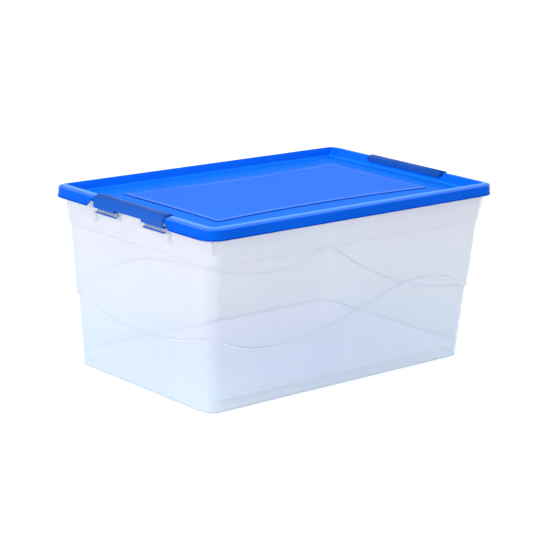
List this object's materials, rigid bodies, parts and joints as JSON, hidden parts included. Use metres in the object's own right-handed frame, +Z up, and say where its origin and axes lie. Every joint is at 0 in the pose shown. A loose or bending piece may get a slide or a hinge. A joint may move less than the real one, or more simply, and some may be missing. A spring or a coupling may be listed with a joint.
{
  "type": "storage box",
  "caption": "Clear rectangular storage tub with tapered walls, a wave line, a blue lid with a raised panel, and a swinging clip latch at each end.",
  "frame": {"origin": "centre of the base, at the height of the surface that the box stands on", "axes": "+X along the long side towards the right latch, +Z up, +Y across the box towards the back wall"},
  "size_m": [0.6, 0.3872, 0.2914],
  "materials": {
    "clear_plastic": "translucent natural polypropylene, satin",
    "blue_plastic": "opaque bright blue polypropylene, satin with a fine-grained panel",
    "latch_plastic": "opaque bright blue polypropylene, satin"
  },
  "bodies": {
    "tub": {"tub": "clear_plastic"},
    "lid": {"lid": "blue_plastic"},
    "latch_right": {"latch_right": "latch_plastic"},
    "latch_left": {"latch_left": "latch_plastic"}
  },
  "joints": [
    {"name": "lid_lift", "type": "slide", "parent": "tub", "child": "lid", "axis": [0, 0, 1], "range_m": [0, 0.35]},
    {"name": "latch_right_swing", "type": "hinge", "parent": "tub", "child": "latch_right", "pos_m": [0.293, 0, 0.267], "axis": [0, 1, 0], "range_deg": [0, 140]},
    {"name": "latch_left_swing", "type": "hinge", "parent": "tub", "child": "latch_left", "pos_m": [-0.293, 0, 0.267], "axis": [0, -1, 0], "range_deg": [0, 140]}
  ]
}
